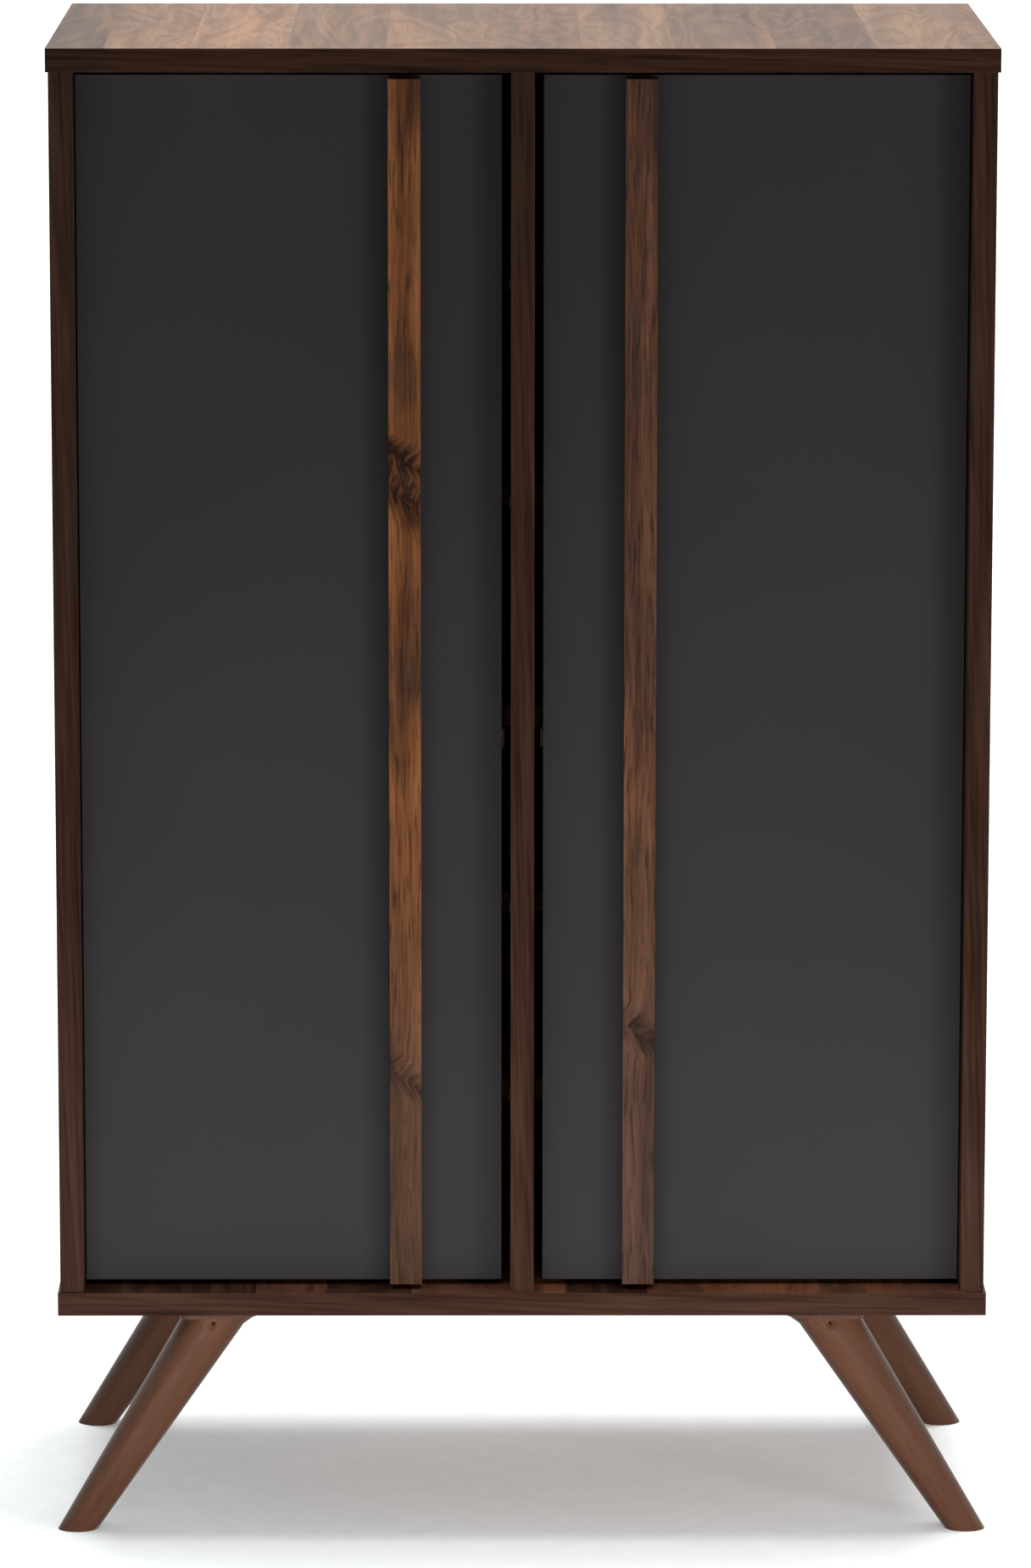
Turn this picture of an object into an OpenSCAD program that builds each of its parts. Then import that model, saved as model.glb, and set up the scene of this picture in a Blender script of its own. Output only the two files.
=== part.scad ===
// Two-door shoe cabinet on four splayed legs.
// Frame: origin on the floor under the middle of the cabinet, +X to the right seen from
// the front, front facing -Y, +Z up. Every right-hand piece is the mirror of a left-hand one.

/* [Cabinet] */
// Width over the top panel
cabinet_w = 720; // [680:1:800]
// Depth over the top panel
cabinet_d = 400; // [380:1:440]
// Height from the floor to the top face
cabinet_h = 1166; // [1140:1:1200]
// Height of the legs, from the floor to the underside of the bottom panel
leg_h = 183; // [170:1:200]
// Thickness of the top, bottom, sides and divider
board_t = 18; // [16:1:20]
// How far the sides and the divider stand behind the front edge of the top
front_step = 2.5; // [1:0.5:6]
// How far the top and bottom overhang each side panel
side_step = 2; // [1:0.5:4]
// Thickness of the hardboard back
back_t = 3; // [2.5:0.5:4]

/* [Doors] */
// Thickness of a door
door_t = 18; // [16:1:20]
// How far the door faces stand behind the front edge of the top
door_setback = 28; // [24:1:32]
// Gap between a door and its side panel, where the hinges are
hinge_gap = 1.2; // [1:0.1:1.6]
// Gap between a door and the divider
free_gap = 7; // [4:0.5:9]
// Gap above the doors
door_top_gap = 4.5; // [3:0.5:6]
// Gap below the doors
door_bottom_gap = 4; // [3:0.5:6]
// Width of the wooden strip that serves as the pull
strip_w = 24.5; // [20:0.5:30]
// Thickness of the strip
strip_t = 16; // [12:1:20]
// Distance from the middle of the cabinet to the middle of a strip
strip_x = 90; // [70:1:120]
// How far a strip stops short of the top of its door
strip_drop = 1.8; // [0:0.2:4]

/* [Shelves] */
// Thickness of a shelf
shelf_t = 15; // [12:1:16]
// Height of the top face of the fixed shelves
fixed_shelf_z = 652; // [640:1:664]
// Gap between the back of a door and the front edge of a fixed shelf
fixed_setback = 16; // [10:1:20]
// Gap between the back of a door and the front edge of an adjustable shelf
shelf_setback = 40; // [20:5:60]
// Gap at each end of an adjustable shelf
shelf_end_gap = 1; // [0.5:0.5:2]
// Distance between neighbouring shelf pin holes
hole_pitch = 32; // [25:1:40]

/* [Legs] */
// Diameter of a leg at its top
leg_top_d = 46; // [40:0.2:48]
// Diameter of a leg at the floor
leg_foot_d = 26.6; // [22:0.2:30]
// Distance from the middle to a leg's axis at its top, across the cabinet
leg_top_x = 230; // [200:1:250]
// The same, from front to back
leg_top_y = 135; // [120:1:150]
// Distance from the middle to a leg's axis at the floor, across the cabinet
leg_foot_x = 348.5; // [320:0.5:352]
// The same, from front to back
leg_foot_y = 156; // [140:1:180]
// Thickness of the plate between a leg and the bottom panel
leg_plate_t = 11; // [9:1:14]

/* [Hinges] */
// Diameter of the hinge cup
cup_d = 35; // [35:35]
// Depth of the hinge cup
cup_depth = 12; // [11:0.5:12.5]
// Distance from the door's edge to the middle of the cup
cup_inset = 22.5; // [21:0.5:24]
// Height of each hinge above the floor
hinge_z = [300, 730, 1048]; // [250:1:1100]

/* [Hidden] */
$fn = 48;
fit = 0.05;                    // clearance of a pin or screw in its hole
over = 1;                      // how far a cutter runs past a face

// Main faces
half_w = cabinet_w / 2;
front_y = -cabinet_d / 2;
rear_y = cabinet_d / 2;
floor_z = leg_h + board_t;             // top face of the bottom panel
roof_z = cabinet_h - board_t;          // underside of the top panel
side_out = half_w - side_step;         // outer face of a side panel
side_in = side_out - board_t;          // inner face of a side panel
carcase_front = front_y + front_step;
carcase_rear = rear_y - back_t - 0.5;
bay_h = roof_z - floor_z;

// Doors
door_face = front_y + door_setback;
door_back = door_face + door_t;
door_edge = side_in - hinge_gap;       // hinge edge of a door
door_free = board_t / 2 + free_gap;    // free edge of a door
door_low = floor_z + door_bottom_gap;
door_high = roof_z - door_top_gap;

// Shelves
fixed_front = door_back + fixed_setback;
shelf_front = door_back + shelf_setback;
shelf_rear = carcase_rear - 1;
fixed_under = fixed_shelf_z - shelf_t;
lower_space = (fixed_under - floor_z - 2 * shelf_t) / 3;
upper_space = (roof_z - fixed_shelf_z - 2 * shelf_t) / 3;
shelf_under = [                        // underside of each adjustable shelf, from the lowest
    floor_z + lower_space,
    floor_z + 2 * lower_space + shelf_t,
    fixed_shelf_z + upper_space,
    fixed_shelf_z + 2 * upper_space + shelf_t
];
pin_r = 2.5;
pin_depth = 8;
pin_y = [shelf_front + 32, shelf_rear - 37];
tongue_t = 2.2;                        // flat part of a shelf pin that carries the shelf

// Cam joints between boards
cam_r = 7.4;
cam_h = 12.2;
cam_reach = 34;                        // from the board's end to the middle of the cam
cam_y = [-128, 128];
shelf_cam_y = [-112, 128];             // the same, in the fixed shelves
dowel_r = 4;
dowel_len = 30;
dowel_y = [-92, 92];
bolt_bore_r = 3.6;
bolt_thread_r = 2.5;
bolt_thread_len = 11;
uprights = [-side_in - board_t / 2, 0, side_in + board_t / 2];

// Back nails
nail_r = 0.8;
nail_len = 20;
nail_head_r = 2.4;
nail_head_t = 0.9;
nail_rows = 7;
nail_x = [-side_in - board_t / 2, -board_t / 4, board_t / 4, side_in + board_t / 2];

// Legs
leg_run_x = leg_top_x - leg_foot_x;
leg_run_y = leg_top_y - leg_foot_y;
leg_run = norm([leg_run_x, leg_run_y]);
leg_len = norm([leg_run, leg_h]);
leg_tilt = atan2(leg_run, leg_h);
leg_turn = atan2(leg_run_y, leg_run_x);
plate_low = leg_h - leg_plate_t;       // underside of a leg plate
plate_turn = atan2(-leg_run_y, -leg_run_x);
plate_size = [62, 58];
plate_corner = 8;
plate_x = leg_top_x + 10;
plate_y = leg_top_y + 2;
plate_screws = [24.5, 22.5];
plate_screw_r = 2;
seam_turn = 65;                        // keeps round faces' seams off the leg's slanted cuts
collar_low = 207;                      // along the leg's axis, from the floor
collar_flare = 0.42;                   // rise of the collar's radius per millimetre
leg_bolt_r = 4;
leg_bolt_low = 160;
leg_bolt_high = 213;
lock_pin_z = 166;
lock_pin_r = 1.3;
corners = [[-1, -1], [1, -1], [-1, 1], [1, 1]];

// Hinges, in a plan where x runs inward from the door's hinge edge and y runs back from
// the door's face. The door turns about the corner where both are 0.
cup_wall = 1.4;
cup_floor = 0.8;
cup_rim_t = 1.2;
cup_screw_z = 22.5;
cup_screw_x = cup_inset + 9.5;
cup_screw_r = 1.75;
link_r = 21;                           // middle of the curved link, from the door's axis
link_t = 2;
link_w = 13;
link_from = 22;                        // angles that the link spans at rest
link_to = 73;
guide_angle = 25;
guide_r = 1.2;
arm_half = 8.4;
arm_wall = 1.4;
arm_rear = 76;
base_t = 2.5;
hinge_screw_y = 52;
hinge_screw_z = 16;

// Strips, catches and their screws
strip_screw_r = 2;
strip_screw_z = [door_low + 60, (door_low + door_high) / 2, door_high - 60];
catch_size = [38, 34, 14];
catch_screw_y = fixed_front + 9;
catch_x = board_t / 2 + 24;
catch_gap = 0.4;
strike_t = 1.2;

// ---- helpers ----

module mirrored(side) {
    // side -1 keeps a left-hand piece, side 1 mirrors it to the right
    if (side < 0) children();
    else mirror([1, 0, 0]) children();
}

module block(low, high) {
    translate(low) cube(high - low);
}

module rod(from, axis, length, radius, fn = 32) {
    // a round bar that starts at a point and runs along X, Y or Z, either way
    turn = axis == "x" ? [0, 90, 0] : axis == "y" ? [-90, 0, 0] : [0, 0, 0];
    translate(from) rotate(turn)
        translate([0, 0, min(length, 0)]) cylinder(h = abs(length), r = radius, $fn = fn);
}

module at_leg(sx, sy) {
    // z runs up the leg's own axis, from where it meets the floor
    translate([sx * leg_foot_x, sy * leg_foot_y, 0])
        mirror([sx < 0 ? 1 : 0, 0, 0]) mirror([0, sy < 0 ? 1 : 0, 0])
            rotate([0, leg_tilt, leg_turn]) rotate(seam_turn) children();
}

module leg_cone(grow = 0) {
    // the leg's turned taper, past both ends
    spare = 30;
    slope = (leg_top_d - leg_foot_d) / 2 / leg_len;
    translate([0, 0, -spare])
        cylinder(h = leg_len + 2 * spare, r1 = leg_foot_d / 2 + grow - slope * spare,
                 r2 = leg_top_d / 2 + grow + slope * spare, $fn = 96);
}

module at_plate(sx, sy) {
    translate([sx * plate_x, sy * plate_y, 0])
        mirror([sx < 0 ? 1 : 0, 0, 0]) mirror([0, sy < 0 ? 1 : 0, 0])
            rotate([0, 0, plate_turn]) children();
}

module at_hinge(z) {
    // left-hand hinge corner: x inward, y back, z up
    translate([-door_edge, door_face, z]) children();
}

// ---- cutters shared by the boards ----

module dowel_cut(x, y, z) {
    rod([x, y, z - dowel_len / 2 - 0.5], "z", dowel_len + 1, dowel_r + fit);
}

module end_joint_cuts() {
    // dowel holes in the top and bottom panels, and the holes that the cam bolts screw into
    for (x = uprights) {
        for (y = dowel_y, z = [floor_z, roof_z]) dowel_cut(x, y, z);
        for (y = cam_y) {
            rod([x, y, roof_z - over], "z", bolt_thread_len + over + 0.5, bolt_thread_r + fit);
            rod([x, y, floor_z + over], "z", -bolt_thread_len - over - 0.5,
                bolt_thread_r + fit);
        }
    }
}

module upright_cuts(x, face) {
    // cam pockets open on the face at x = face, with a bolt bore from each end
    inward = face < x ? 1 : -1;
    for (y = dowel_y, z = [floor_z, roof_z]) dowel_cut(x, y, z);
    for (y = cam_y, end = [-1, 1]) {
        end_z = end < 0 ? floor_z : roof_z;
        middle = end_z - end * cam_reach;
        rod([face - inward * over, y, middle], "x", inward * (cam_h + over + 0.5),
            cam_r + 0.1);
        rod([x, y, end_z + end * over], "z", -end * (cam_reach + over), bolt_bore_r + 0.2);
    }
}

module pin_holes(face, inward) {
    // three holes at each adjustable shelf, front and rear, for the shelf pins
    for (under = shelf_under, y = pin_y, step = [-1, 0, 1])
        rod([face - inward * over, y, under - tongue_t - pin_r + 2 + step * hole_pitch], "x",
            inward * (pin_depth + over + 1), pin_r + fit);
}

module nail_cuts(x) {
    for (i = [0 : nail_rows - 1])
        rod([x, carcase_rear + over, nail_z(i)], "y", -(nail_len - back_t) - over - 0.5,
            nail_r + fit, 16);
}

function nail_z(i) = floor_z + 30 + i * (bay_h - 60) / (nail_rows - 1);

// ---- boards ----

module top_panel() {
    color("#6b4a35") difference() {
        block([-half_w, front_y, roof_z], [half_w, rear_y, cabinet_h]);
        end_joint_cuts();
    }
}

module bottom_panel() {
    color("#5a3a2a") difference() {
        block([-half_w, front_y, leg_h], [half_w, rear_y, floor_z]);
        end_joint_cuts();
        for (c = corners, sx = [-1, 1], sy = [-1, 1])
            at_plate(c[0], c[1]) translate([sx * plate_screws[0], sy * plate_screws[1], 0])
                rod([0, 0, leg_h - over], "z", 13 + over, plate_screw_r + fit);
    }
}

module side_panel(side) {
    mirrored(side) color("#4f3527") difference() {
        block([-side_out, carcase_front, floor_z], [-side_in, carcase_rear, roof_z]);
        upright_cuts(-side_out + board_t / 2, -side_in);
        pin_holes(-side_in, -1);
        nail_cuts(-side_out + board_t / 2);
        for (z = hinge_z, s = [-1, 1])
            at_hinge(z) rod([-hinge_gap + over, hinge_screw_y, s * hinge_screw_z], "x",
                            -13.5 - over, cup_screw_r + fit);
        for (y = shelf_cam_y)
            rod([-side_in + over, y, fixed_under + shelf_t / 2], "x",
                -bolt_thread_len - over - 0.5, bolt_thread_r + fit);
    }
}

module divider_panel() {
    color("#4f3527") difference() {
        block([-board_t / 2, carcase_front, floor_z], [board_t / 2, carcase_rear, roof_z]);
        upright_cuts(0, board_t / 2);
        pin_holes(-board_t / 2, 1);
        pin_holes(board_t / 2, -1);
        nail_cuts(-board_t / 4);
        nail_cuts(board_t / 4);
        for (y = dowel_y)
            rod([-board_t / 2 - over, y, fixed_under + shelf_t / 2], "x",
                board_t + 2 * over, dowel_r + fit);
    }
}

module back_panel(side) {
    mirrored(side) color("#8a6a52") difference() {
        block([-side_out + 2, carcase_rear + 0.2, floor_z + 0.1],
              [-0.5, carcase_rear + 0.2 + back_t, roof_z - 0.1]);
        for (x = [nail_x[0], nail_x[1]], i = [0 : nail_rows - 1])
            rod([x, carcase_rear - over, nail_z(i)], "y", back_t + 2 * over + 1,
                nail_r + fit, 16);
    }
}

module back_nails() {
    color("#b8b8b4") for (x = nail_x, i = [0 : nail_rows - 1]) {
        rod([x, carcase_rear + 0.2 + back_t, nail_z(i)], "y", -nail_len, nail_r, 16);
        rod([x, carcase_rear + 0.2 + back_t, nail_z(i)], "y", nail_head_t * 0.3,
            nail_head_r, 24);
    }
}

// ---- shelves ----

module fixed_shelf(side) {
    mirrored(side) color("#5a3a2a") difference() {
        block([-side_in, fixed_front, fixed_under], [-board_t / 2, carcase_rear, fixed_shelf_z]);
        for (y = shelf_cam_y) {
            rod([-side_in + cam_reach, y, fixed_under - over], "z", cam_h + over + 0.3,
                cam_r + 0.1);
            rod([-side_in - over, y, fixed_under + shelf_t / 2], "x", cam_reach + over,
                bolt_bore_r + 0.2);
        }
        for (y = dowel_y)
            rod([-board_t / 2 + over, y, fixed_under + shelf_t / 2], "x", -over - 20.5,
                dowel_r + fit);
        rod([-catch_x, catch_screw_y, fixed_under - over], "z", over + 10.5,
            cup_screw_r + fit);
    }
}

module shelf(side, i) {
    mirrored(side) color("#5a3a2a")
        block([-side_in + shelf_end_gap, shelf_front, shelf_under[i]],
              [-board_t / 2 - shelf_end_gap, shelf_rear, shelf_under[i] + shelf_t]);
}

module shelf_pin(face, inward, y, under) {
    // a peg in the board, a flange against it and a flat tongue under the shelf
    rod([face, y, under - tongue_t - pin_r + 2], "x", -inward * pin_depth, pin_r);
    block([min(face, face + inward), y - 5, under - 8], [max(face, face + inward), y + 5, under]);
    block([min(face, face + inward * 9), y - 5, under - tongue_t],
          [max(face, face + inward * 9), y + 5, under]);
}

module shelf_pins(side) {
    mirrored(side) color("#b8b8b4") for (under = shelf_under, y = pin_y) {
        shelf_pin(-side_in, 1, y, under);
        shelf_pin(-board_t / 2, -1, y, under);
    }
}

// ---- joint fittings ----

module cam_lock(bolt_at) {
    // its face is at z = 0, and it takes the bolt's head from +y at a depth of bolt_at
    difference() {
        cylinder(h = cam_h, r = cam_r);
        translate([0, 0, bolt_at]) rotate([-90, 0, 0])
            cylinder(h = cam_r + over, r = 3.7, $fn = 24);
        translate([0, 0, bolt_at]) sphere(r = 4.6, $fn = 24);
        for (turn = [45, -45]) rotate(turn)
            translate([-4, -0.6, -over]) cube([8, 1.2, 1.8 + over]);
    }
}

module cam_bolt() {
    // stands on z = 0 at the board's face: thread below, shank and head above
    rod([0, 0, -bolt_thread_len], "z", bolt_thread_len, bolt_thread_r);
    rod([0, 0, 0], "z", cam_reach - 9, 3.5);
    rod([0, 0, cam_reach - 9 - over], "z", 8 + over, 2);
    rod([0, 0, cam_reach - 2.5], "z", 4, 3.4);
}

module cam_locks() {
    color("#9a9a98") {
        for (y = cam_y, end = [-1, 1]) {
            z = end < 0 ? floor_z + cam_reach : roof_z - cam_reach;
            translate([-side_in, y, z]) rotate([0, -90, 0]) rotate(end > 0 ? -90 : 90)
                cam_lock(board_t / 2);
            translate([side_in, y, z]) rotate([0, 90, 0]) rotate(end > 0 ? 90 : -90)
                cam_lock(board_t / 2);
            translate([board_t / 2, y, z]) rotate([0, -90, 0]) rotate(end > 0 ? -90 : 90)
                cam_lock(board_t / 2);
        }
        for (y = shelf_cam_y, side = [-1, 1])
            mirrored(side) translate([-side_in + cam_reach, y, fixed_under]) rotate(90)
                cam_lock(shelf_t / 2);
    }
}

module cam_bolts() {
    color("#c9c7c0") {
        for (x = uprights, y = cam_y) {
            translate([x, y, floor_z]) cam_bolt();
            translate([x, y, roof_z]) mirror([0, 0, 1]) cam_bolt();
        }
        for (y = shelf_cam_y, side = [-1, 1])
            mirrored(side) translate([-side_in, y, fixed_under + shelf_t / 2])
                rotate([0, 90, 0]) cam_bolt();
    }
}

module wood_dowels() {
    color("#cda873") {
        for (x = uprights, y = dowel_y, z = [floor_z, roof_z])
            rod([x, y, z - dowel_len / 2], "z", dowel_len, dowel_r);
        for (y = dowel_y)
            rod([-board_t / 2 - 20, y, fixed_under + shelf_t / 2], "x", board_t + 40, dowel_r);
    }
}

// ---- legs ----

module leg(sx, sy) {
    color("#6f4c3c") difference() {
        intersection() {
            at_leg(sx, sy) leg_cone();
            block([-cabinet_w, -cabinet_d, 0], [cabinet_w, cabinet_d, plate_low]);
        }
        at_leg(sx, sy) rod([0, 0, leg_bolt_low - 1], "z", leg_len, leg_bolt_r + fit);
        leg_lock_hole(sx, sy);
    }
}

function leg_axis_x(z) = leg_foot_x + leg_run_x * z / leg_h;
function leg_axis_y(z) = leg_foot_y + leg_run_y * z / leg_h;
function leg_radius(z) = (leg_foot_d + (leg_top_d - leg_foot_d) * z / leg_h) / 2;

module leg_lock_hole(sx, sy) {
    rod([sx * leg_axis_x(lock_pin_z), sy * (leg_axis_y(lock_pin_z) + leg_radius(lock_pin_z) + 6),
         lock_pin_z], "y", -sy * 20, lock_pin_r + fit, 24);
}

module leg_plate(sx, sy) {
    color("#5f4031") difference() {
        union() {
            at_plate(sx, sy) rounded_plate();
            intersection() {
                at_leg(sx, sy) translate([0, 0, collar_low])
                    cylinder(h = 18, r1 = leg_top_d / 2 - 0.6,
                             r2 = leg_top_d / 2 - 0.6 + 18 * collar_flare, $fn = 96);
                block([-cabinet_w, -cabinet_d, 0], [cabinet_w, cabinet_d, plate_low + 1]);
            }
        }
        intersection() {
            at_leg(sx, sy) leg_cone(fit);
            block([-cabinet_w, -cabinet_d, 0], [cabinet_w, cabinet_d, plate_low + 0.02]);
        }
        at_leg(sx, sy) rod([0, 0, leg_bolt_low], "z", leg_len, leg_bolt_r + fit);
        at_plate(sx, sy) for (x = [-1, 1], y = [-1, 1])
            translate([x * plate_screws[0], y * plate_screws[1], 0]) {
                rod([0, 0, plate_low - over], "z", leg_plate_t + 2 * over, plate_screw_r + fit);
                rod([0, 0, plate_low - over], "z", over + 2.5, 3.8);
            }
    }
}

module rounded_plate() {
    // exact rounded rectangle: two slabs and four round corners
    hx = plate_size[0] / 2;
    hy = plate_size[1] / 2;
    block([-hx + plate_corner, -hy, plate_low], [hx - plate_corner, hy, leg_h]);
    block([-hx, -hy + plate_corner, plate_low], [hx, hy - plate_corner, leg_h]);
    for (x = [-1, 1], y = [-1, 1])
        rod([x * (hx - plate_corner), y * (hy - plate_corner), plate_low], "z", leg_plate_t,
            plate_corner);
}

module leg_plate_screws() {
    color("#b8b8b4") for (c = corners, x = [-1, 1], y = [-1, 1])
        at_plate(c[0], c[1]) translate([x * plate_screws[0], y * plate_screws[1], 0]) {
            rod([0, 0, plate_low + 1], "z", leg_plate_t + 11, plate_screw_r);
            rod([0, 0, plate_low + 0.3], "z", 2, 3.6);
        }
}

module leg_bolts() {
    color("#b8b8b4") for (c = corners)
        at_leg(c[0], c[1]) rod([0, 0, leg_bolt_low], "z", leg_bolt_high - leg_bolt_low,
                               leg_bolt_r);
}

module leg_lock_pins() {
    color("#3a3230") for (c = corners)
        rod([c[0] * leg_axis_x(lock_pin_z),
             c[1] * (leg_axis_y(lock_pin_z) + leg_radius(lock_pin_z) - 2), lock_pin_z], "y",
            -c[1] * 10, lock_pin_r, 24);
}

// ---- doors ----

module door(side) {
    mirrored(side) color("#3a3838") difference() {
        block([-door_edge, door_face, door_low], [-door_free, door_back, door_high]);
        for (z = hinge_z) at_hinge(z) {
            rod([cup_inset, door_t + over, 0], "y", -cup_depth - over - 0.2,
                cup_d / 2 + fit, 96);
            for (s = [-1, 1])
                rod([cup_screw_x, door_t + over, s * cup_screw_z], "y", -11.5 - over,
                    cup_screw_r + fit);
        }
        for (z = strip_screw_z) rod([-strip_x, door_back + over, z], "y", -door_t - 2 * over,
                                    strip_screw_r + fit);
        strike_screw_at() rod([0, over, 0], "y", -10 - over, 1.5 + fit);
    }
}

module handle_strip(side) {
    mirrored(side) color("#7a4e35") difference() {
        block([-strip_x - strip_w / 2, door_face - strip_t, door_low],
              [-strip_x + strip_w / 2, door_face, door_high - strip_drop]);
        for (z = strip_screw_z) rod([-strip_x, door_face + over, z], "y", -10.5 - over,
                                    strip_screw_r + fit);
    }
}

module handle_screws(side) {
    mirrored(side) color("#b8b8b4") for (z = strip_screw_z) {
        rod([-strip_x, door_back, z], "y", -door_t - 10, strip_screw_r);
        rod([-strip_x, door_back, z], "y", 1.6, 4);
    }
}

// ---- hinges ----

module hinge_cup() {
    difference() {
        union() {
            rod([cup_inset, door_t, 0], "y", -cup_depth, cup_d / 2, 96);
            rod([cup_inset, door_t, 0], "y", cup_rim_t, cup_d / 2 + 1.3, 96);
            block([cup_inset + 1, door_t, -cup_screw_z - 5.5],
                  [cup_inset + 16, door_t + cup_rim_t, cup_screw_z + 5.5]);
        }
        rod([cup_inset, door_t + over + cup_rim_t, 0], "y",
            -cup_depth - over - cup_rim_t + cup_floor, cup_d / 2 - cup_wall, 96);
        block([0, door_t, -arm_half - 1], [cup_inset - 8, door_t + 3, arm_half + 1]);
        for (s = [-1, 1])
            rod([cup_screw_x, door_t - over, s * cup_screw_z], "y", cup_rim_t + 2 * over,
                cup_screw_r + fit);
    }
}

module hinge_cups(side) {
    mirrored(side) color("#c4c4c0") for (z = hinge_z) at_hinge(z) hinge_cup();
}

module hinge_cup_screws(side) {
    mirrored(side) color("#b8b8b4") for (z = hinge_z, s = [-1, 1])
        at_hinge(z) translate([cup_screw_x, 0, s * cup_screw_z]) {
            rod([0, door_t + cup_rim_t, 0], "y", -12, cup_screw_r);
            rod([0, door_t + cup_rim_t, 0], "y", 1.5, 3.3);
        }
}

module hinge_link() {
    // a curved link about the door's axis, between the arm's nose and the cup's rim
    translate([0, 0, -link_w / 2]) rotate(link_from)
        rotate_extrude(angle = link_to - link_from, $fn = 180)
            translate([link_r - link_t / 2, 0]) square([link_t, link_w]);
}

module hinge_links(side) {
    mirrored(side) color("#a8a8a4") for (z = hinge_z) at_hinge(z) hinge_link();
}

module arm_web() {
    polygon([[10.9, arm_rear], [10.9, 27.8], [13.6, 25.6], [26.4, 25.6], [26.4, 9.2],
             [25, 9.2], [25, 24.2], [13.1, 24.2], [9.5, 27.1], [9.5, arm_rear]]);
}

module arm_cheek() {
    polygon([[2.5, arm_rear], [10.9, arm_rear], [10.9, 27.8], [13.6, 25.6], [26.4, 25.6],
             [26.4, 9.2], [20.8, 8.2], [19.6, 10.5], [16.8, 14.5], [12.8, 18.4], [7, 21.4],
             [2.5, 23]]);
}

module hinge_arm() {
    guide = link_r + link_t / 2 + 0.2 + guide_r;
    difference() {
        union() {
            translate([0, 0, -arm_half]) linear_extrude(2 * arm_half) arm_web();
            for (low = [-arm_half, arm_half - arm_wall])
                translate([0, 0, low]) linear_extrude(arm_wall) arm_cheek();
            rod([guide * cos(guide_angle), guide * sin(guide_angle), -arm_half], "z",
                2 * arm_half, guide_r, 24);
        }
        rod([8, hinge_screw_y, 0], "x", 5, 2.7);
    }
}

module hinge_arms(side) {
    mirrored(side) color("#c4c4c0") for (z = hinge_z) at_hinge(z) hinge_arm();
}

module hinge_plate() {
    difference() {
        union() {
            block([-hinge_gap, 32, -9], [-hinge_gap + base_t, 72, 9]);
            block([-hinge_gap, hinge_screw_y - 8, -24], [-hinge_gap + base_t, hinge_screw_y + 8, 24]);
            block([-hinge_gap, 34, -6.4], [9.2, 72, 6.4]);
        }
        for (s = [-1, 1])
            rod([-hinge_gap - over, hinge_screw_y, s * hinge_screw_z], "x", base_t + 2 * over,
                cup_screw_r + fit);
        rod([3, hinge_screw_y, 0], "x", 8, 2.5 + fit);
    }
}

module hinge_plates(side) {
    mirrored(side) color("#c4c4c0") for (z = hinge_z) at_hinge(z) hinge_plate();
}

module hinge_plate_screws(side) {
    mirrored(side) color("#b8b8b4") for (z = hinge_z) at_hinge(z) {
        for (s = [-1, 1]) translate([-hinge_gap + base_t, hinge_screw_y, s * hinge_screw_z]) {
            rod([0, 0, 0], "x", -15, cup_screw_r);
            rod([0, 0, 0], "x", 1.6, 3.3);
        }
        rod([4, hinge_screw_y, 0], "x", 7, 2.5);
        rod([10.95, hinge_screw_y, 0], "x", 1.6, 4);
    }
}

// ---- catches ----

module strike_screw_at() {
    translate([-catch_x, door_back, fixed_under - catch_size[2] / 2]) children();
}

module catch(side) {
    // the magnet's housing, under the front edge of the fixed shelf
    near = door_back + strike_t + catch_gap;
    mirrored(side) color("#5c4234") difference() {
        block([-catch_x - catch_size[0] / 2, near, fixed_under - catch_size[2]],
              [-catch_x + catch_size[0] / 2, near + catch_size[1], fixed_under]);
        rod([-catch_x, catch_screw_y, fixed_under - catch_size[2] - over], "z",
            catch_size[2] + 2 * over, cup_screw_r + fit);
    }
}

module strike_plate(side) {
    mirrored(side) color("#c4c4c0") strike_screw_at() difference() {
        block([-16, 0, -6], [16, strike_t, 6]);
        rod([0, -over, 0], "y", strike_t + 2 * over, 1.5 + fit);
    }
}

module catch_screws() {
    color("#b8b8b4") for (side = [-1, 1]) mirrored(side) {
        translate([-catch_x, catch_screw_y, fixed_under - catch_size[2]]) {
            rod([0, 0, 0], "z", catch_size[2] + 10, cup_screw_r);
            rod([0, 0, 0], "z", -1.6, 3.3);
        }
    }
}

top_panel();
bottom_panel();
side_panel(-1);  // side_panel_left
side_panel(1);  // side_panel_right
divider_panel();
back_panel(-1);  // back_panel_left
back_panel(1);  // back_panel_right
back_nails();
fixed_shelf(-1);  // fixed_shelf_left
fixed_shelf(1);  // fixed_shelf_right
shelf(-1, 0);  // shelf_left_1
shelf(-1, 1);  // shelf_left_2
shelf(-1, 2);  // shelf_left_3
shelf(-1, 3);  // shelf_left_4
shelf(1, 0);  // shelf_right_1
shelf(1, 1);  // shelf_right_2
shelf(1, 2);  // shelf_right_3
shelf(1, 3);  // shelf_right_4
shelf_pins(-1);  // shelf_pins_left
shelf_pins(1);  // shelf_pins_right
cam_locks();
cam_bolts();
wood_dowels();
leg(-1, -1);  // leg_front_left
leg(1, -1);  // leg_front_right
leg(-1, 1);  // leg_rear_left
leg(1, 1);  // leg_rear_right
leg_plate(-1, -1);  // leg_plate_front_left
leg_plate(1, -1);  // leg_plate_front_right
leg_plate(-1, 1);  // leg_plate_rear_left
leg_plate(1, 1);  // leg_plate_rear_right
leg_plate_screws();
leg_bolts();
leg_lock_pins();
door(-1);  // door_left
door(1);  // door_right
handle_strip(-1);  // handle_strip_left
handle_strip(1);  // handle_strip_right
handle_screws(-1);  // handle_screws_left
handle_screws(1);  // handle_screws_right
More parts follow.
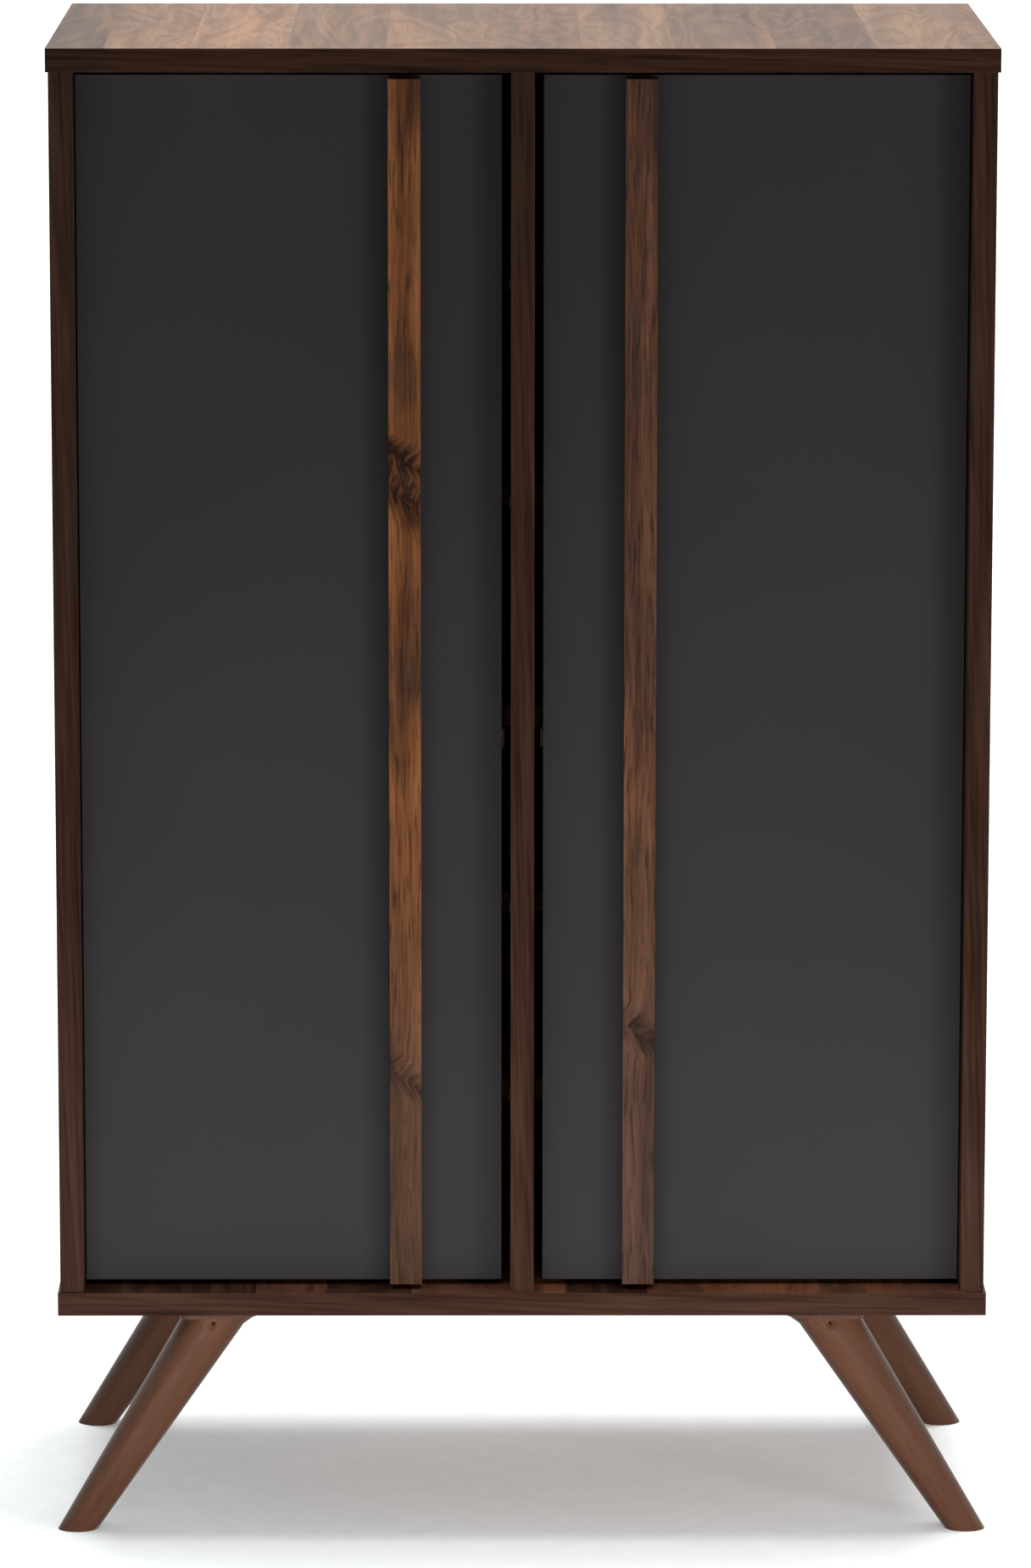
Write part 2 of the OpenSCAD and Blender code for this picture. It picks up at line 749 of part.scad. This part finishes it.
hinge_cups(-1);  // hinge_cups_left
hinge_cups(1);  // hinge_cups_right
hinge_cup_screws(-1);  // hinge_cup_screws_left
hinge_cup_screws(1);  // hinge_cup_screws_right
hinge_links(-1);  // hinge_links_left
hinge_links(1);  // hinge_links_right
hinge_arms(-1);  // hinge_arms_left
hinge_arms(1);  // hinge_arms_right
hinge_plates(-1);  // hinge_plates_left
hinge_plates(1);  // hinge_plates_right
hinge_plate_screws(-1);  // hinge_plate_screws_left
hinge_plate_screws(1);  // hinge_plate_screws_right
catch(-1);  // catch_left
catch(1);  // catch_right
strike_plate(-1);  // strike_plate_left
strike_plate(1);  // strike_plate_right
catch_screws();
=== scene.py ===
"""Looks of the shoe cabinet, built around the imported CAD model. Everything is in metres."""

import math

import bpy
from mathutils import Matrix, Vector

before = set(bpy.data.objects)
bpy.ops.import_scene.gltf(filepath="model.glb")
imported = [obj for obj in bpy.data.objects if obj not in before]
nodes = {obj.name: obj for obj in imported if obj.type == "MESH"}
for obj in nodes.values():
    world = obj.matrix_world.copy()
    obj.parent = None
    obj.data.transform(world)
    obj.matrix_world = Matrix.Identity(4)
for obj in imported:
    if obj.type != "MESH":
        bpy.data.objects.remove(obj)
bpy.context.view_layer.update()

# Camera, found by a fit on the photo. The turns are in radians.
LENS_MM = 176.17
CAMERA_PLACE = (-0.0360, -5.9765, 1.6911)
CAMERA_PITCH = 0.1862  # looking down
CAMERA_YAW = 0.0053
CAMERA_ROLL = 0.0008

# Light, as strengths, watts and directions.
WORLD_FRONT = 0.06  # strength of the world's light in front of the cabinet
WORLD_BEHIND = 0.70  # and behind and above it
WORLD_BRIGHT_WAY = (0.0, 0.8, 0.6)  # towards the world's bright side
WORLD_BLEND = (-0.3, 0.7)  # cosines of the turn from that way where the two strengths are reached
SUN_STRENGTH = 3.4
SUN_WIDTH_DEGREES = 36.0
SUN_WAY = (-0.05, -0.14, -1.0)  # the way its light goes
KEY_WATTS = 34.0
LOW_FRONT_WATTS = 10.5
FLOOR_REACH = 60.0
FLOOR_GLOW = 0.13

# How far each kind of piece has its edges rounded.
BOARD_EDGE = 0.0007
STRIP_EDGE = 0.0012
DOOR_EDGE = 0.0005
FOOT_EDGE = 0.0022
SHARP_DEGREES = 35.0  # an edge with a larger turn is rounded
SAME_POINT = 0.00001  # mesh points nearer than this are joined
NEAR_END = 0.0005  # leg points nearer than this to the leg's end are on it


# ---- node graphs ----


class Graph:
    """A short way to write one material's nodes."""

    def __init__(self, name):
        self.material = bpy.data.materials.new(name)
        self.material.use_nodes = True
        self.tree = self.material.node_tree
        self.bsdf = self.tree.nodes["Principled BSDF"]

    def put(self, kind, inputs=None, **settings):
        made = self.tree.nodes.new(kind)
        for key, value in settings.items():
            setattr(made, key, value)
        for key, value in (inputs or {}).items():
            self.feed(made.inputs[key], value)
        return made

    def feed(self, socket, value):
        if isinstance(value, bpy.types.NodeSocket):
            self.tree.links.new(value, socket)
        else:
            socket.default_value = value

    def place(self):
        return self.put("ShaderNodeTexCoord").outputs["Object"]

    def split(self, vector):
        return self.put("ShaderNodeSeparateXYZ", {0: vector}).outputs

    def join(self, x, y, z):
        return self.put("ShaderNodeCombineXYZ", {0: x, 1: y, 2: z}).outputs[0]

    def math(self, operation, a, b=0.0, c=0.0, clamp=False):
        made = self.put("ShaderNodeMath", {0: a, 1: b, 2: c}, operation=operation)
        made.use_clamp = clamp
        return made.outputs[0]

    def noise(self, vector, scale=1.0, detail=3.0, rough=0.5, distortion=0.0):
        made = self.put("ShaderNodeTexNoise", {"Vector": vector, "Scale": scale})
        made.inputs["Detail"].default_value = detail
        made.inputs["Roughness"].default_value = rough
        made.inputs["Distortion"].default_value = distortion
        return made.outputs["Fac"]

    def stretch(self, a, a_scale, b, b_scale, c=0.0, c_scale=1.0, seed=0.0):
        """Noise place in which each length has its own number of repeats in a metre."""
        pairs = ((a, a_scale, seed), (b, b_scale, 0.0), (c, c_scale, 0.0))
        parts = [self.math("MULTIPLY_ADD", value, scale, shift) for value, scale, shift in pairs]
        return self.join(*parts)

    def weigh(self, *parts):
        """Sum of values, each times its weight."""
        total = 0.0
        for value, weight in parts:
            total = self.math("MULTIPLY_ADD", value, weight, total)
        return total

    def between(self, value, low, high):
        """0 at low and 1 at high. Low may be the larger of the two."""
        made = self.put("ShaderNodeMapRange", {"Value": value})
        made.inputs["From Min"].default_value = low
        made.inputs["From Max"].default_value = high
        return made.outputs["Result"]

    def random(self, value):
        """A number from 0 to 1 that depends on the value only."""
        made = self.put("ShaderNodeTexWhiteNoise", noise_dimensions="1D")
        self.feed(made.inputs["W"], value)
        return made.outputs["Value"]

    def ramp(self, factor, stops):
        """Colour that runs through (factor, colour) stops."""
        made = self.put("ShaderNodeValToRGB", {0: factor})
        band = made.color_ramp
        while len(band.elements) < len(stops):
            band.elements.new(0.5)
        for element, (place, colour) in zip(band.elements, stops):
            element.position = place
            element.color = (*colour, 1.0)
        return made.outputs["Color"]

    def mix(self, factor, a, b):
        """Colour a where the factor is 0 and colour b where it is 1."""
        made = self.put("ShaderNodeMix", data_type="RGBA")
        self.feed(made.inputs["Factor"], factor)
        for key, value in (("A", a), ("B", b)):
            colour = value if isinstance(value, bpy.types.NodeSocket) else (*value, 1.0)
            self.feed(self.colour_socket(made.inputs, key), colour)
        return self.colour_socket(made.outputs, "Result")

    def colour_socket(self, sockets, name):
        return next(one for one in sockets if one.name == name and one.type == "RGBA")

    def scaled(self, factor, low, high):
        """Low where the factor is 0 and high where it is 1."""
        made = self.put("ShaderNodeMapRange", {"Value": factor})
        made.inputs["To Min"].default_value = low
        made.inputs["To Max"].default_value = high
        return made.outputs["Result"]

    def bump(self, height, distance, strength):
        made = self.put("ShaderNodeBump", {"Height": height, "Distance": distance})
        made.inputs["Strength"].default_value = strength
        self.tree.links.new(made.outputs["Normal"], self.bsdf.inputs["Normal"])

    def finish(self, colour, roughness, specular, metallic=0.0):
        self.feed(self.bsdf.inputs["Base Color"], colour)
        self.feed(self.bsdf.inputs["Roughness"], roughness)
        self.bsdf.inputs["Specular IOR Level"].default_value = specular
        self.bsdf.inputs["Metallic"].default_value = metallic
        return self.material


# ---- wood ----


def grain(graph, along, across, through, seed=0.0, wander=0.02, patch_rate=9.0):
    """Returns tone, fine and bent. Tone runs from 0, dark, to 1, light. Fine is its thin streaks.

    The inputs are metres along the grain, across it and through the board. Bent is the place across
    the grain after the lines have wandered, by up to about half the given metres. Patches of tone
    repeat about patch_rate times in a metre along the grain.
    """
    drift = graph.noise(graph.stretch(along, 1.8, across, 7.0, through, 3.0, seed), detail=2.0)
    aside = graph.math("MULTIPLY", graph.math("SUBTRACT", drift, 0.5), 2 * wander)
    bent = graph.math("ADD", across, aside)
    broad = graph.stretch(along, 1.4, bent, 55.0, through, 40.0, seed)
    broad = graph.noise(broad, detail=3.0, rough=0.6)
    fine = graph.stretch(along, 14.0, bent, 420.0, through, 420.0, seed)
    fine = graph.noise(fine, detail=3.0, rough=0.7)
    patch = graph.stretch(along, patch_rate, bent, 38.0, through, 30.0, seed + 5.0)
    patch = graph.noise(patch, detail=4.0, rough=0.65)
    tone = graph.weigh((broad, 0.45), (fine, 0.25), (patch, 0.30))
    return tone, fine, bent


def arches(graph, along, across, seed):
    """Cathedral figure of flat-sawn wood, 1 on its dark lines."""
    hills = graph.stretch(along, 2.6, across, 11.0, seed=seed)
    hills = graph.noise(hills, detail=2.0, distortion=0.5)
    contours = 90.0  # radians of wave over the hills' whole height
    wave = graph.math("SINE", graph.math("MULTIPLY", hills, contours))
    return graph.math("MULTIPLY", graph.math("ADD", wave, 1.0), 0.5)


def pores(graph, along, across, through):
    """Short dark pore lines along the grain, 1 where there is a pore."""
    speck = graph.noise(graph.stretch(along, 38.0, across, 480.0, through, 480.0), detail=2.0)
    return graph.between(speck, 0.54, 0.68)


# Each palette has a dark, a middle and a light tone of one wood, and the grey tone of its patches.
WALNUT = (
    (0.020, 0.0080, 0.0050),
    (0.072, 0.0260, 0.0130),
    (0.155, 0.0580, 0.0280),
    (0.040, 0.022, 0.015),
)
# Painted light: the same walnut print as WALNUT, made lighter so that the bottom board near the
# doors, which lies in shade, looks lit.
LIT_SHELF_WALNUT = (
    (0.026, 0.0090, 0.0050),
    (0.175, 0.0580, 0.0245),
    (0.370, 0.1320, 0.0560),
    (0.090, 0.042, 0.025),
)
# Painted light: the same walnut print again, made lighter still for the strongly lit top.
LIT_TOP_WALNUT = (
    (0.072, 0.032, 0.016),
    (0.222, 0.107, 0.052),
    (0.388, 0.200, 0.104),
    (0.146, 0.090, 0.060),
)
STRIP_WARM = (
    (0.014, 0.0046, 0.0018),
    (0.086, 0.0275, 0.0062),
    (0.170, 0.0600, 0.0170),
    (0.025, 0.0136, 0.0094),
)
STRIP_PLAIN = (
    (0.010, 0.0042, 0.0022),
    (0.047, 0.0185, 0.0090),
    (0.105, 0.0420, 0.0200),
    (0.036, 0.0180, 0.0120),
)
LEG_STAIN = (
    (0.038, 0.0155, 0.0085),
    (0.062, 0.0260, 0.0142),
    (0.086, 0.0375, 0.0210),
    (0.050, 0.023, 0.014),
)
# Each knot on a strip has a height, read where its slanted line crosses x = 0, and half its length.
LEFT_KNOTS = [(0.778, 0.020), (0.752, 0.030), (0.296, 0.016)]
RIGHT_KNOTS = [(0.478, 0.018)]
STRIP_DULL = (0.60, 0.36)  # heights between which the strips turn dull, going down
EDGE_BAND = ((0.0118, 0.0042, 0.0018), (0.0340, 0.0142, 0.0080))  # its dark and its light tone


def coloured(graph, level, palette, greyness):
    """Wood colour from a tone of 0 to 1, with its greyed patches, which keep their figure."""
    dark, middle, light, grey = palette
    dark_grey = tuple(0.5 * part for part in grey)
    light_grey = tuple(1.45 * part for part in grey)
    wood = graph.ramp(level, [(0.28, dark), (0.50, middle), (0.70, light)])
    greyed = graph.ramp(level, [(0.28, dark_grey), (0.50, grey), (0.70, light_grey)])
    return graph.mix(greyness, wood, greyed)


def laminate(name, grain_axis, palette, plank, contrast, seed=0.0, rough=0.38, specular=0.2):
    """Walnut-print board: planks of different tone on broad faces, a dark band on narrow ones.

    Plank is the mean width of a plank, and contrast is how far the planks' tones differ.
    """
    graph = Graph(name)
    x, y, z = graph.split(graph.place())
    along, across, through = {"y": (y, x, z), "z": (z, y, x)}[grain_axis]
    uneven = graph.noise(graph.join(graph.math("MULTIPLY", across, 11.0), seed, 0.0), detail=1.0)
    lane = graph.math("MULTIPLY_ADD", uneven, 0.8 * plank, across)
    index = graph.math("FLOOR", graph.math("DIVIDE", lane, plank))
    pick = graph.random(graph.math("ADD", index, seed))
    hue = graph.random(graph.math("ADD", index, seed + 31.5))
    shifted = graph.math("ADD", along, graph.math("MULTIPLY", pick, 13.0))
    aside = graph.math("ADD", across, graph.math("MULTIPLY", pick, 5.0))
    tone, fine, _ = grain(graph, shifted, aside, through, patch_rate=3.5)
    lines = arches(graph, shifted, aside, seed=2.0)
    level = graph.weigh((tone, 1.0), (lines, -0.10), (pick, contrast))
    level = graph.math("ADD", level, 0.05 - contrast / 2)
    clouds = graph.noise(graph.stretch(shifted, 2.0, aside, 16.0, through, 5.0, 7.0), detail=3.0)
    greyness = graph.weigh((graph.between(clouds, 0.42, 0.62), 0.45), (hue, 0.35))
    wood = coloured(graph, level, palette, greyness)
    specks = graph.math("MULTIPLY", pores(graph, shifted, aside, through), 0.4)
    wood = graph.mix(specks, wood, palette[0])
    colour = graph.mix(narrow_face(graph, grain_axis), wood, edge_band(graph, x, y, z, grain_axis))
    graph.bump(fine, 0.00006, strength=0.3)
    return graph.finish(colour, graph.scaled(fine, rough - 0.05, rough + 0.08), specular)


def narrow_face(graph, grain_axis):
    """1 on a board's narrow edges and 0 on its broad faces, from the surface's own direction."""
    facing_x, _, facing_z = graph.split(graph.put("ShaderNodeTexCoord").outputs["Normal"])
    broad = {"y": facing_z, "z": facing_x}[grain_axis]
    return graph.math("LESS_THAN", graph.math("ABSOLUTE", broad), 0.6)


def edge_band(graph, x, y, z, grain_axis):
    """Dark edge band with fine, slightly slanted grain along its length."""
    long_way, short_way = {"y": (x, z), "z": (z, x)}[grain_axis]
    slant = graph.math("MULTIPLY", long_way, 0.03)
    thin = graph.math("ADD", graph.math("ADD", short_way, y), slant)
    lines = graph.stretch(long_way, 11.0, thin, 360.0, seed=0.5)
    lines = graph.noise(lines, detail=4.0, distortion=0.3)
    soft = graph.noise(graph.stretch(long_way, 4.0, thin, 70.0, seed=2.5), detail=2.0)
    level = graph.weigh((lines, 0.6), (soft, 0.4))
    return graph.ramp(level, [(0.36, EDGE_BAND[0]), (0.66, EDGE_BAND[1])])


def strip_wood(name, palette, knots, seed):
    """Solid walnut of a pull strip, duller towards its lower end."""
    graph = Graph(name)
    x, y, z = graph.split(graph.place())
    around = graph.math("ADD", x, graph.math("MULTIPLY", y, 0.6))
    burl = 0.0
    for height, size in knots:
        burl = graph.math("MAXIMUM", burl, knot_at(graph, x, z, height, size, seed))
    pulled = graph.math("ADD", around, graph.math("MULTIPLY", burl, 0.010))
    tone, fine, bent = grain(graph, graph.math("ADD", z, seed), pulled, y, seed, wander=0.012)
    patches = graph.noise(graph.stretch(z, 6.0, around, 40.0, seed=seed + 4.0), detail=3.0)
    swirl = graph.stretch(z, 70.0, pulled, 160.0, y, 80.0, seed)
    swirl = graph.noise(swirl, detail=3.0, distortion=1.5)
    level = graph.weigh((tone, 1.15), (patches, 0.35), (burl, -0.66), (fine, 0.25))
    level = graph.math("MULTIPLY_ADD", graph.math("MULTIPLY", burl, swirl), 0.78, level)
    level = graph.math("SUBTRACT", level, 0.37)
    dull = graph.between(z, *STRIP_DULL)
    greyness = graph.math("MAXIMUM", dull, graph.between(patches, 0.52, 0.28))
    wood = coloured(graph, level, palette, graph.math("MULTIPLY", greyness, 0.82))
    specks = graph.math("MULTIPLY", pores(graph, z, bent, y), 0.6)
    wood = graph.mix(specks, wood, palette[0])
    graph.bump(fine, 0.00012, strength=0.5)
    return graph.finish(wood, graph.scaled(fine, 0.40, 0.52), specular=0.25)


def knot_at(graph, x, z, height, size, seed):
    """A soft spot of swirled grain at a height on a strip, 1 at its middle."""
    slanted = graph.math("ADD", z, graph.math("MULTIPLY", x, 0.8))
    ragged = graph.noise(graph.stretch(x, 70.0, z, 50.0, seed=seed), detail=3.0)
    shift = graph.math("MULTIPLY", graph.math("SUBTRACT", ragged, 0.5), size)
    middle = graph.math("ADD", height, shift)
    away = graph.math("ABSOLUTE", graph.math("SUBTRACT", slanted, middle))
    return graph.math("SUBTRACT", 1.0, graph.math("DIVIDE", away, size), clamp=True)


def leg_wood(name):
    """Stained and lacquered turned wood with its grain down the leg, mirrored for each corner."""
    graph = Graph(name)
    x, y, z = graph.split(graph.place())
    lean = leg_axis()
    across = graph.math("MULTIPLY_ADD", z, -lean.x / lean.z, graph.math("ABSOLUTE", x))
    deep = graph.math("MULTIPLY_ADD", z, -lean.y / lean.z, graph.math("ABSOLUTE", y))
    corner = graph.weigh((graph.math("SIGN", x), 3.0), (graph.math("SIGN", y), 1.3))
    along = graph.math("ADD", z, corner)
    tone, fine, _ = grain(graph, along, across, deep, seed=2.0, wander=0.008)
    wood = coloured(graph, tone, LEG_STAIN, 0.15)
    specks = graph.math("MULTIPLY", pores(graph, along, across, deep), 0.25)
    wood = graph.mix(specks, wood, LEG_STAIN[0])
    graph.bump(fine, 0.00004, strength=0.3)
    return graph.finish(wood, graph.scaled(fine, 0.24, 0.32), specular=0.5)


def leg_axis():
    """Direction going up a leg's axis, with x and y counted outwards from the cabinet's middle."""
    points = [vertex.co for vertex in nodes["leg_front_right"].data.vertices]
    highest = max(point.z for point in points)
    foot = middle_of([point for point in points if point.z < NEAR_END])
    top = middle_of([point for point in points if point.z > highest - NEAR_END])
    lean = top - foot
    return Vector((lean.x, -lean.y, lean.z)).normalized()


def middle_of(points):
    return sum(points, Vector()) / len(points)


# ---- other materials ----

# Those with two tones have the darker one first.
DOOR_GREY = ((0.0185, 0.0168, 0.0176), (0.0210, 0.0190, 0.0199))
HARDBOARD = ((0.105, 0.062, 0.038), (0.205, 0.130, 0.085))
BEECH = ((0.42, 0.27, 0.14), (0.62, 0.44, 0.26))
FLOOR_PAPER = ((0.775, 0.805, 0.812), (0.795, 0.825, 0.832))
NICKEL = (0.62, 0.60, 0.56)
ZINC = (0.52, 0.53, 0.53)
LEG_PLATE = (0.060, 0.028, 0.0175)
LOCK_PIN = (0.012, 0.010, 0.009)
CATCH_BROWN = (0.11, 0.068, 0.045)


def door_laminate(name):
    """Matte dark grey laminate with a very fine orange-peel surface."""
    graph = Graph(name)
    place = graph.place()
    peel = graph.noise(place, 1500.0, detail=2.0)
    cloud = graph.noise(place, 3.0)
    colour = graph.ramp(cloud, [(0.3, DOOR_GREY[0]), (0.7, DOOR_GREY[1])])
    graph.bump(peel, 0.00002, strength=0.35)
    return graph.finish(colour, graph.scaled(cloud, 0.46, 0.54), specular=0.10)


def plated(name, colour, rough):
    """Plated steel with faint wipe marks."""
    graph = Graph(name)
    place = graph.place()
    x, y, z = graph.split(place)
    wipe = graph.stretch(x, 900.0, y, 900.0, z, 90.0)
    wipe = graph.noise(wipe, rough=0.6)
    spot = graph.noise(place, 160.0, rough=0.6)
    tint = graph.mix(spot, tuple(0.86 * part for part in colour), colour)
    graph.bump(wipe, 0.00002, strength=0.3)
    roughness = graph.scaled(wipe, rough - 0.07, rough + 0.09)
    return graph.finish(tint, roughness, specular=0.5, metallic=1.0)


def hardboard(name):
    """Brown printed hardboard with short matted fibres."""
    graph = Graph(name)
    place = graph.place()
    fibre = graph.noise(place, 260.0, detail=5.0, rough=0.7, distortion=1.5)
    cloud = graph.noise(place, 5.0)
    level = graph.weigh((fibre, 0.7), (cloud, 0.3))
    colour = graph.ramp(level, [(0.32, HARDBOARD[0]), (0.68, HARDBOARD[1])])
    graph.bump(fibre, 0.00015, strength=0.5)
    return graph.finish(colour, 0.72, specular=0.3)


def moulded(name, colour, rough):
    """Moulded plastic with a fine spark-eroded grain."""
    graph = Graph(name)
    place = graph.place()
    speck = graph.noise(place, 1800.0, detail=2.0, rough=0.6)
    cloud = graph.noise(place, 20.0, detail=2.0)
    tint = graph.mix(cloud, tuple(0.85 * part for part in colour), colour)
    graph.bump(speck, 0.00004, strength=0.5)
    return graph.finish(tint, rough, specular=0.4)


def beech(name):
    """Pale dowel wood with small flecks."""
    graph = Graph(name)
    x, y, z = graph.split(graph.place())
    fleck = graph.stretch(x, 500.0, y, 500.0, z, 60.0)
    fleck = graph.noise(fleck, rough=0.6)
    colour = graph.ramp(fleck, [(0.35, BEECH[0]), (0.65, BEECH[1])])
    graph.bump(fleck, 0.0001, strength=0.4)
    return graph.finish(colour, 0.6, specular=0.3)


# ---- CAD nodes ----


def paint(names, material):
    for name in names:
        slots = nodes[name].data.materials
        slots.clear()
        slots.append(material)


def rounding(piece, width, segments):
    """Joins the mesh's doubled points and adds a bevel, whose edges the caller limits."""
    weld = piece.modifiers.new("weld", "WELD")
    weld.merge_threshold = SAME_POINT
    bevel = piece.modifiers.new("ease", "BEVEL")
    bevel.width = width
    bevel.segments = segments
    bevel.harden_normals = True
    return bevel


def ease(name, width, segments=2):
    """Rounds a CAD node's sharp edges a little, so that they catch the light."""
    bevel = rounding(nodes[name], width, segments)
    bevel.limit_method = "ANGLE"
    bevel.angle_limit = math.radians(SHARP_DEGREES)


def round_foot(name):
    """Rounds the rim of a leg where it meets the floor."""
    leg = nodes[name]
    rim = leg.vertex_groups.new(name="foot")
    low = [vertex.index for vertex in leg.data.vertices if vertex.co.z < NEAR_END]
    rim.add(low, 1.0, "REPLACE")
    bevel = rounding(leg, FOOT_EDGE, segments=4)
    bevel.limit_method = "VGROUP"
    bevel.vertex_group = "foot"


def nodes_with(*words):
    """Names of the CAD nodes that hold any of the words."""
    return [name for name in sorted(nodes) if any(word in name for word in words)]


def dress_boards():
    flat = ["bottom_panel", *nodes_with("shelf_left", "shelf_right")]
    upright = ["side_panel_left", "side_panel_right", "divider_panel"]
    top = ["top_panel"]
    # The flat boards take the lighter copy of the walnut print, which paints light onto them.
    flat_print = laminate("walnut_print_flat", "y", LIT_SHELF_WALNUT, 0.062, contrast=0.42, seed=3.0)
    upright_print = laminate("walnut_print_upright", "z", WALNUT, 0.074, contrast=0.22)
    # The top takes the lightest copy of the walnut print, which paints the top's strong light into
    # its colour.
    top_print = laminate(
        "walnut_print_top",
        "y",
        LIT_TOP_WALNUT,
        0.074,
        contrast=0.28,
        seed=9.0,
        rough=0.33,
        specular=0.15,
    )
    paint(flat, flat_print)
    paint(upright, upright_print)
    paint(top, top_print)
    paint(["back_panel_left", "back_panel_right"], hardboard("brown_hardboard"))
    for name in flat + upright + top:
        ease(name, BOARD_EDGE)


def dress_doors():
    paint(["door_left", "door_right"], door_laminate("grey_laminate"))
    left_strip = strip_wood("strip_walnut_left", STRIP_WARM, LEFT_KNOTS, seed=1.3)
    right_strip = strip_wood("strip_walnut_right", STRIP_PLAIN, RIGHT_KNOTS, seed=6.1)
    paint(["handle_strip_left"], left_strip)
    paint(["handle_strip_right"], right_strip)
    for name in ("door_left", "door_right"):
        ease(name, DOOR_EDGE)
    for name in nodes_with("handle_strip"):
        ease(name, STRIP_EDGE, segments=3)


def dress_legs():
    legs = nodes_with("leg_front", "leg_rear")
    paint(legs, leg_wood("stained_leg_wood"))
    plates = nodes_with("leg_plate_front", "leg_plate_rear")
    paint(plates, moulded("leg_plate_brown", LEG_PLATE, rough=0.38))
    paint(["leg_lock_pins"], moulded("dark_pin", LOCK_PIN, rough=0.5))
    for name in legs:
        round_foot(name)


def dress_fittings():
    nickel = plated("nickel_plate", NICKEL, rough=0.28)
    zinc = plated("zinc_plate", ZINC, rough=0.38)
    paint(nodes_with("hinge_cups", "hinge_links", "hinge_arms", "hinge_plates"), nickel)
    paint(nodes_with("strike_plate", "shelf_pins"), nickel)
    paint(nodes_with("screws", "cam_", "nails", "leg_bolts"), zinc)
    paint(["wood_dowels"], beech("beech_dowel"))
    paint(["catch_left", "catch_right"], moulded("brown_plastic", CATCH_BROWN, rough=0.45))


# ---- camera, light and floor ----


def make_camera():
    """Long lens, a little above the cabinet and looking slightly down."""
    data = bpy.data.cameras.new("camera")
    data.lens = LENS_MM
    data.clip_start = 0.1
    data.clip_end = 200.0
    camera = bpy.data.objects.new("camera", data)
    bpy.context.scene.collection.objects.link(camera)
    camera.location = CAMERA_PLACE
    turn = Matrix.Rotation(-CAMERA_YAW, 4, "Z")
    tip = Matrix.Rotation(math.pi / 2 - CAMERA_PITCH, 4, "X")
    roll = Matrix.Rotation(CAMERA_ROLL, 4, "Z")
    camera.rotation_euler = (turn @ tip @ roll).to_euler()
    bpy.context.scene.camera = camera


def softbox(name, watts, place, target, size):
    """Rectangular lamp that lights matte surfaces but isn't seen, directly or in gloss."""
    data = bpy.data.lights.new(name, "AREA")
    data.shape = "RECTANGLE"
    data.size, data.size_y = size
    data.energy = watts
    lamp = bpy.data.objects.new(name, data)
    bpy.context.scene.collection.objects.link(lamp)
    lamp.location = place
    lamp.visible_camera = False
    lamp.visible_glossy = False
    lamp.rotation_euler = pointing(Vector(target) - Vector(place))


def pointing(way):
    """Rotation of a lamp whose light goes the given way."""
    return way.to_track_quat("-Z", "Y").to_euler()


def make_floor():
    """Pale floor all round the object. It glows a little, which keeps the shadow light."""
    mesh = bpy.data.meshes.new("studio_floor")
    outline = ((-1, -1), (1, -1), (1, 1), (-1, 1))
    corners = [(FLOOR_REACH * x, FLOOR_REACH * y, 0.0) for x, y in outline]
    mesh.from_pydata(corners, [], [(0, 1, 2, 3)])
    floor = bpy.data.objects.new("studio_floor", mesh)
    bpy.context.scene.collection.objects.link(floor)
    floor.visible_glossy = False
    graph = Graph("pale_floor")
    speck = graph.noise(graph.place(), 40.0, detail=2.0)
    paper = graph.ramp(speck, [(0.4, FLOOR_PAPER[0]), (0.6, FLOOR_PAPER[1])])
    graph.bsdf.inputs["Emission Color"].default_value = (1.0, 1.0, 1.0, 1.0)
    graph.bsdf.inputs["Emission Strength"].default_value = FLOOR_GLOW
    mesh.materials.append(graph.finish(paper, 0.9, specular=0.1))


def make_world():
    """White to the camera. To everything else it is bright behind and above, and dark in front."""
    world = bpy.data.worlds.new("studio")
    bpy.context.scene.world = world
    world.use_nodes = True
    tree = world.node_tree
    back = tree.nodes["Background"]
    back.inputs["Color"].default_value = (1.0, 1.0, 1.0, 1.0)
    place = tree.nodes.new("ShaderNodeTexCoord")
    facing = tree.nodes.new("ShaderNodeVectorMath")
    facing.operation = "DOT_PRODUCT"
    facing.inputs[1].default_value = WORLD_BRIGHT_WAY
    tree.links.new(place.outputs["Generated"], facing.inputs[0])
    sky = tree.nodes.new("ShaderNodeMapRange")
    tree.links.new(facing.outputs["Value"], sky.inputs["Value"])
    sky.inputs["From Min"].default_value = WORLD_BLEND[0]
    sky.inputs["From Max"].default_value = WORLD_BLEND[1]
    sky.inputs["To Min"].default_value = WORLD_FRONT
    sky.inputs["To Max"].default_value = WORLD_BEHIND
    path = tree.nodes.new("ShaderNodeLightPath")
    pick = tree.nodes.new("ShaderNodeMix")
    tree.links.new(path.outputs["Is Camera Ray"], pick.inputs["Factor"])
    tree.links.new(sky.outputs["Result"], pick.inputs["A"])
    pick.inputs["B"].default_value = 1.0
    tree.links.new(pick.outputs["Result"], back.inputs["Strength"])


def make_light():
    """Wide overhead light, a soft key low on the right and a weak one low in front."""
    sun = bpy.data.lights.new("overhead", "SUN")
    sun.energy = SUN_STRENGTH
    sun.angle = math.radians(SUN_WIDTH_DEGREES)
    lamp = bpy.data.objects.new("overhead", sun)
    bpy.context.scene.collection.objects.link(lamp)
    lamp.rotation_euler = pointing(Vector(SUN_WAY))
    softbox("key", KEY_WATTS, place=(1.9, -2.0, 0.35), target=(0.0, -0.2, 0.45), size=(0.7, 0.6))
    softbox(
        "low_front",
        LOW_FRONT_WATTS,
        place=(0.0, -0.80, 0.12),
        target=(0.0, -0.2, 0.26),
        size=(1.5, 0.08),
    )


bpy.context.scene.view_settings.view_transform = "Standard"
dress_boards()
dress_doors()
dress_legs()
dress_fittings()
make_camera()
make_floor()
make_world()
make_light()
